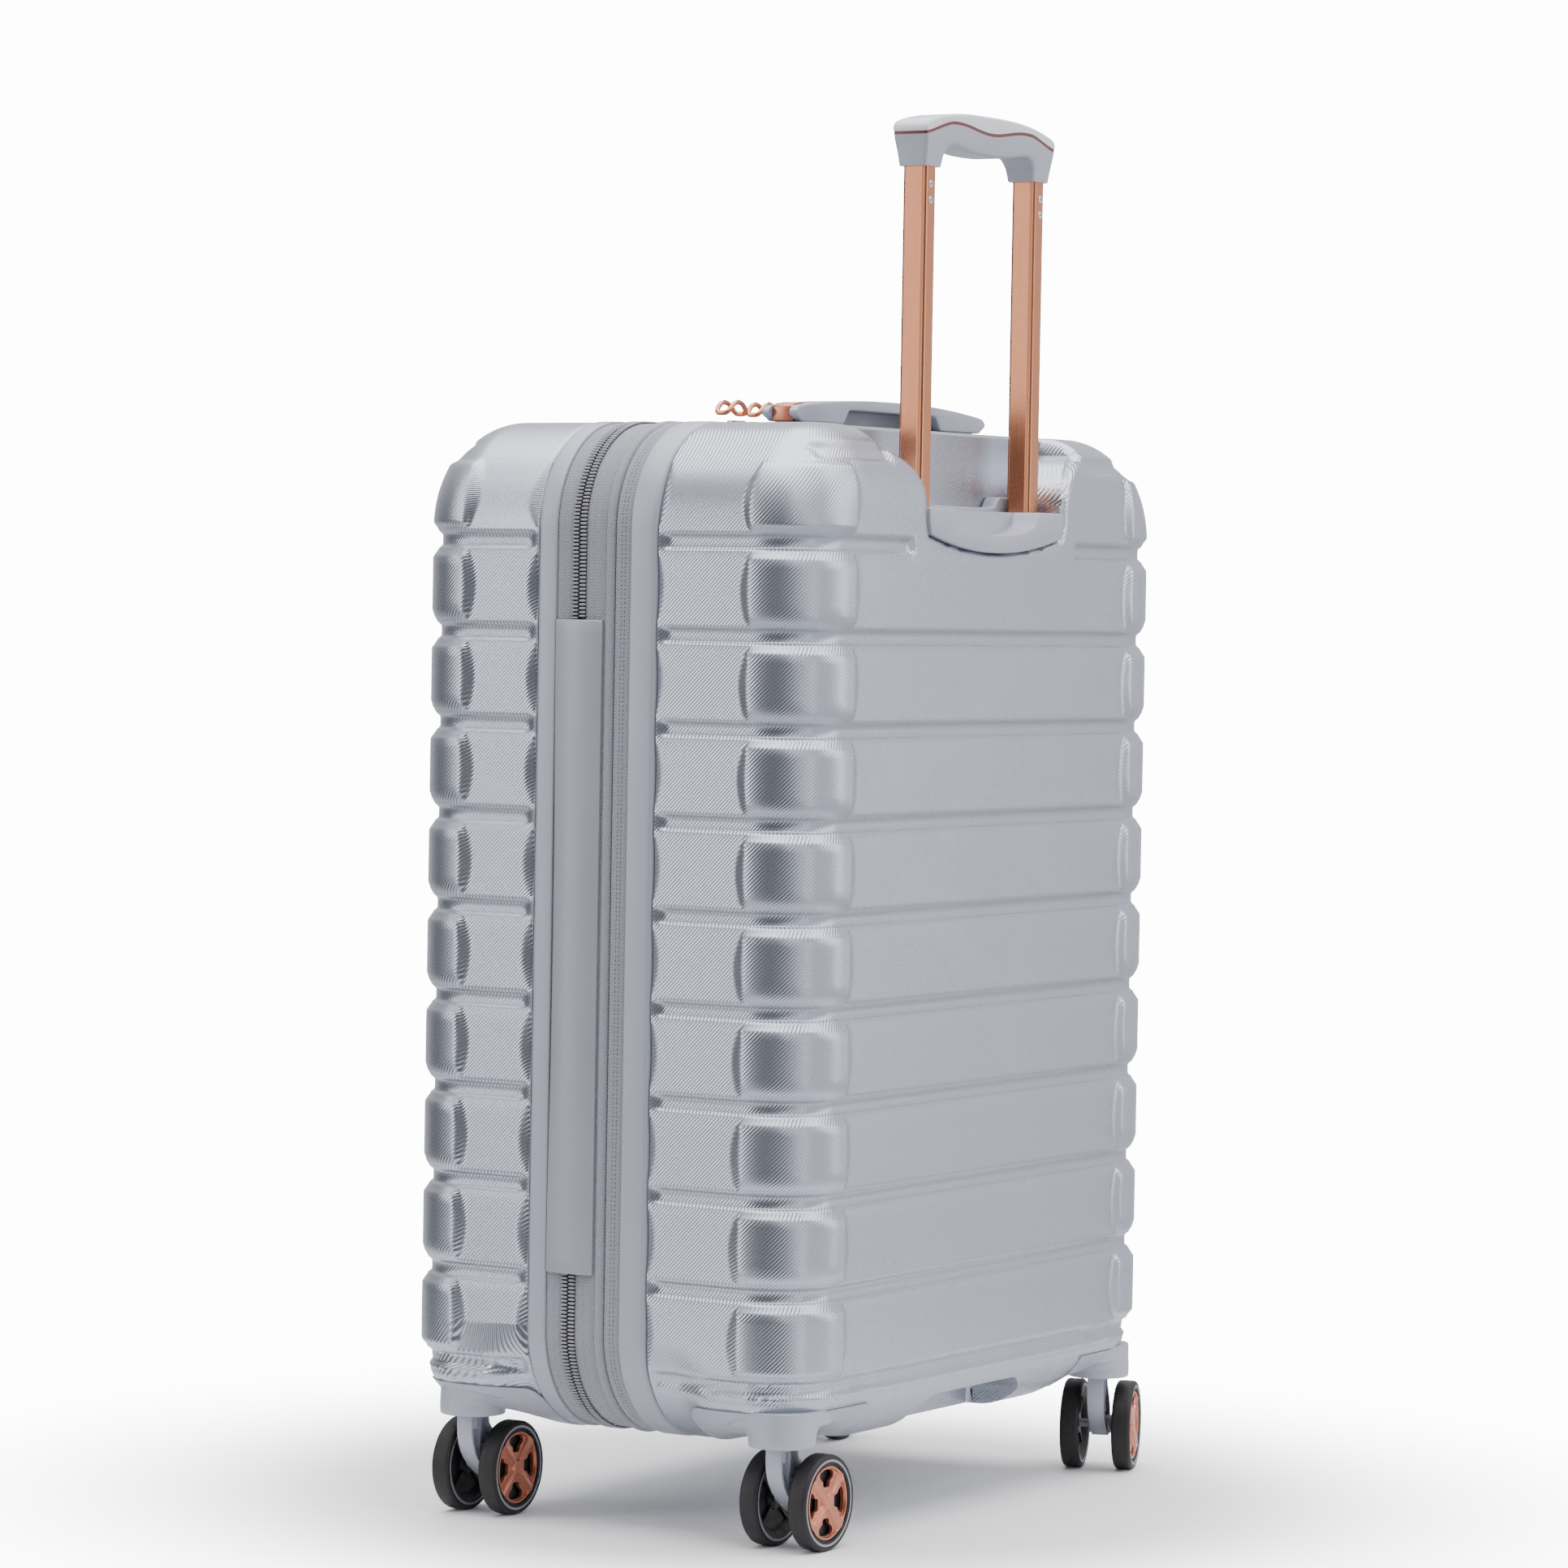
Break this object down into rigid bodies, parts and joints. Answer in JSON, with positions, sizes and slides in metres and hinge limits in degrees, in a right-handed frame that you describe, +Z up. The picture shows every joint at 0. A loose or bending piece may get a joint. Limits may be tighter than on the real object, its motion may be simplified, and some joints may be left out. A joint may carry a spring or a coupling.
{
  "type": "hard shell spinner suitcase",
  "caption": "Tall hard shell suitcase with horizontal grooves, a zipped hinged lid, an expander zip, a telescopic handle, carry handles and swivelling twin wheel casters.",
  "frame": {"origin": "on the floor under the middle of the case body; the trailing casters reach further to -X than to +X, so this is not the middle of the whole box", "axes": "+Z up, +Y towards the back with the telescopic handle, -Y towards the lid, +X towards the lid's hinge"},
  "size_m": [0.5306, 0.322, 0.9718],
  "materials": {
    "shell": "satin metallic silver polycarbonate, pressed",
    "trim": "fine matte moulded silver grey",
    "tape": "herringbone woven zip tape",
    "lining": "plain woven lining cloth",
    "rose_metal": "rose gold anodised, satin",
    "rose_plastic": "rose gold metallic coating",
    "inner_metal": "plain mill finish",
    "dial_metal": "knurled, satin",
    "tyre": "dark matte polyurethane"
  },
  "bodies": {
    "back_case": {"back_shell": "shell", "back_rim": "trim", "rear_tape": "tape", "expansion_gusset": "tape", "trolley_bezel": "trim", "trolley_housing": "inner_metal", "back_lining": "lining", "caster_housing_back_right": "trim", "caster_housing_back_left": "trim", "top_handle_base": "trim", "side_handle_base": "trim", "lock_body": "trim"},
    "mid_frame": {"middle_tape": "tape", "hinge_cover": "trim"},
    "lid": {"front_shell": "shell", "front_rim": "trim", "front_tape": "tape", "front_lining": "lining", "caster_housing_front_right": "trim", "caster_housing_front_left": "trim"},
    "trolley": {"trolley_tube_right": "rose_metal", "trolley_tube_left": "rose_metal", "trolley_grip": "trim", "trolley_grip_cover": "trim"},
    "release": {"release_button": "rose_plastic", "release_linkage": "inner_metal"},
    "top_handle": {"top_handle_grip": "trim", "top_handle_strap_right": "rose_plastic", "top_handle_strap_left": "rose_plastic"},
    "side_handle": {"side_handle_grip": "trim"},
    "lock_dial_1": {"lock_dial_1": "dial_metal"},
    "lock_dial_2": {"lock_dial_2": "dial_metal"},
    "lock_dial_3": {"lock_dial_3": "dial_metal"},
    "lock_button": {"lock_button": "rose_plastic"},
    "main_slider_right": {"main_slider_right": "rose_metal"},
    "main_slider_left": {"main_slider_left": "rose_metal"},
    "main_pull_right": {"main_pull_right": "rose_metal"},
    "main_pull_left": {"main_pull_left": "rose_metal"},
    "expansion_slider": {"expansion_slider": "rose_metal"},
    "caster_back_right": {"fork_back_right": "trim"},
    "wheel_back_right_a": {"tyre_back_right_a": "tyre", "hub_back_right_a": "rose_plastic"},
    "wheel_back_right_b": {"tyre_back_right_b": "tyre", "hub_back_right_b": "rose_plastic"},
    "caster_front_right": {"fork_front_right": "trim"},
    "wheel_front_right_a": {"tyre_front_right_a": "tyre", "hub_front_right_a": "rose_plastic"},
    "wheel_front_right_b": {"tyre_front_right_b": "tyre", "hub_front_right_b": "rose_plastic"},
    "caster_back_left": {"fork_back_left": "trim"},
    "wheel_back_left_a": {"tyre_back_left_a": "tyre", "hub_back_left_a": "rose_plastic"},
    "wheel_back_left_b": {"tyre_back_left_b": "tyre", "hub_back_left_b": "rose_plastic"},
    "caster_front_left": {"fork_front_left": "trim"},
    "wheel_front_left_a": {"tyre_front_left_a": "tyre", "hub_front_left_a": "rose_plastic"},
    "wheel_front_left_b": {"tyre_front_left_b": "tyre", "hub_front_left_b": "rose_plastic"}
  },
  "joints": [
    {"name": "expander", "type": "slide", "parent": "back_case", "child": "mid_frame", "axis": [0, -1, 0], "range_m": [0, 0.038]},
    {"name": "lid_hinge", "type": "hinge", "parent": "mid_frame", "child": "lid", "pos_m": [0.2535, -0.0217, 0.4], "axis": [0, 0, 1], "range_deg": [0, 180]},
    {"name": "trolley_slide", "type": "slide", "parent": "back_case", "child": "trolley", "axis": [0, 0, 1], "range_m": [-0.232, 0.09]},
    {"name": "release_press", "type": "slide", "parent": "trolley", "child": "release", "axis": [0, 0, -1], "range_m": [0, 0.003], "stiffness_N_per_m": 900, "springref_m": -0.004},
    {"name": "top_handle_lift", "type": "slide", "parent": "back_case", "child": "top_handle", "axis": [0, 0, 1], "range_m": [0, 0.012]},
    {"name": "side_handle_lift", "type": "slide", "parent": "back_case", "child": "side_handle", "axis": [-1, 0, 0], "range_m": [0, 0.012]},
    {"name": "dial_1_turn", "type": "hinge", "parent": "back_case", "child": "lock_dial_1", "pos_m": [-0.042, 0.024, 0.7608], "axis": [1, 0, 0], "continuous": true},
    {"name": "dial_2_turn", "type": "hinge", "parent": "back_case", "child": "lock_dial_2", "pos_m": [-0.036, 0.024, 0.7608], "axis": [1, 0, 0], "continuous": true},
    {"name": "dial_3_turn", "type": "hinge", "parent": "back_case", "child": "lock_dial_3", "pos_m": [-0.03, 0.024, 0.7608], "axis": [1, 0, 0], "continuous": true},
    {"name": "lock_button_slide", "type": "slide", "parent": "back_case", "child": "lock_button", "axis": [1, 0, 0], "range_m": [0, 0.004], "stiffness_N_per_m": 120, "springref_m": -0.002},
    {"name": "main_slider_right_slide", "type": "slide", "parent": "mid_frame", "child": "main_slider_right", "axis": [1, 0, 0], "range_m": [0, 0.105]},
    {"name": "main_slider_left_slide", "type": "slide", "parent": "mid_frame", "child": "main_slider_left", "axis": [-1, 0, 0], "range_m": [0, 0.18]},
    {"name": "main_pull_right_swing", "type": "hinge", "parent": "main_slider_right", "child": "main_pull_right", "pos_m": [0.047, -0.0217, 0.7616], "axis": [0, -1, 0], "range_deg": [0, 90]},
    {"name": "main_pull_left_swing", "type": "hinge", "parent": "main_slider_left", "child": "main_pull_left", "pos_m": [0.032, -0.0217, 0.7616], "axis": [0, 1, 0], "range_deg": [0, 90]},
    {"name": "expansion_slider_slide", "type": "slide", "parent": "back_case", "child": "expansion_slider", "axis": [0, 0, -1], "range_m": [0, 0.4]},
    {"name": "swivel_back_right", "type": "hinge", "parent": "back_case", "child": "caster_back_right", "pos_m": [0.2209, 0.1327, 0.07], "axis": [0, 0, 1], "continuous": true},
    {"name": "wheel_back_right_a_roll", "type": "hinge", "parent": "caster_back_right", "child": "wheel_back_right_a", "pos_m": [0.2009, 0.1517, 0.0325], "axis": [0, 1, 0], "continuous": true},
    {"name": "wheel_back_right_b_roll", "type": "hinge", "parent": "caster_back_right", "child": "wheel_back_right_b", "pos_m": [0.2009, 0.1137, 0.0325], "axis": [0, 1, 0], "continuous": true},
    {"name": "swivel_front_right", "type": "hinge", "parent": "lid", "child": "caster_front_right", "pos_m": [0.2209, -0.1175, 0.07], "axis": [0, 0, 1], "continuous": true},
    {"name": "wheel_front_right_a_roll", "type": "hinge", "parent": "caster_front_right", "child": "wheel_front_right_a", "pos_m": [0.20025, -0.09921, 0.0325], "axis": [-0.0349, 0.9994, 0], "continuous": true},
    {"name": "wheel_front_right_b_roll", "type": "hinge", "parent": "caster_front_right", "child": "wheel_front_right_b", "pos_m": [0.20158, -0.13719, 0.0325], "axis": [-0.0349, 0.9994, 0], "continuous": true},
    {"name": "swivel_back_left", "type": "hinge", "parent": "back_case", "child": "caster_back_left", "pos_m": [-0.2209, 0.1327, 0.07], "axis": [0, 0, 1], "continuous": true},
    {"name": "wheel_back_left_a_roll", "type": "hinge", "parent": "caster_back_left", "child": "wheel_back_left_a", "pos_m": [-0.24619, 0.14371, 0.0325], "axis": [-0.342, 0.9397, 0], "continuous": true},
    {"name": "wheel_back_left_b_roll", "type": "hinge", "parent": "caster_back_left", "child": "wheel_back_left_b", "pos_m": [-0.2332, 0.10801, 0.0325], "axis": [-0.342, 0.9397, 0], "continuous": true},
    {"name": "swivel_front_left", "type": "hinge", "parent": "lid", "child": "caster_front_left", "pos_m": [-0.2209, -0.1175, 0.07], "axis": [0, 0, 1], "continuous": true},
    {"name": "wheel_front_left_a_roll", "type": "hinge", "parent": "caster_front_left", "child": "wheel_front_left_a", "pos_m": [-0.24335, -0.10147, 0.0325], "axis": [-0.1392, 0.9903, 0], "continuous": true},
    {"name": "wheel_front_left_b_roll", "type": "hinge", "parent": "caster_front_left", "child": "wheel_front_left_b", "pos_m": [-0.23806, -0.1391, 0.0325], "axis": [-0.1392, 0.9903, 0], "continuous": true}
  ]
}
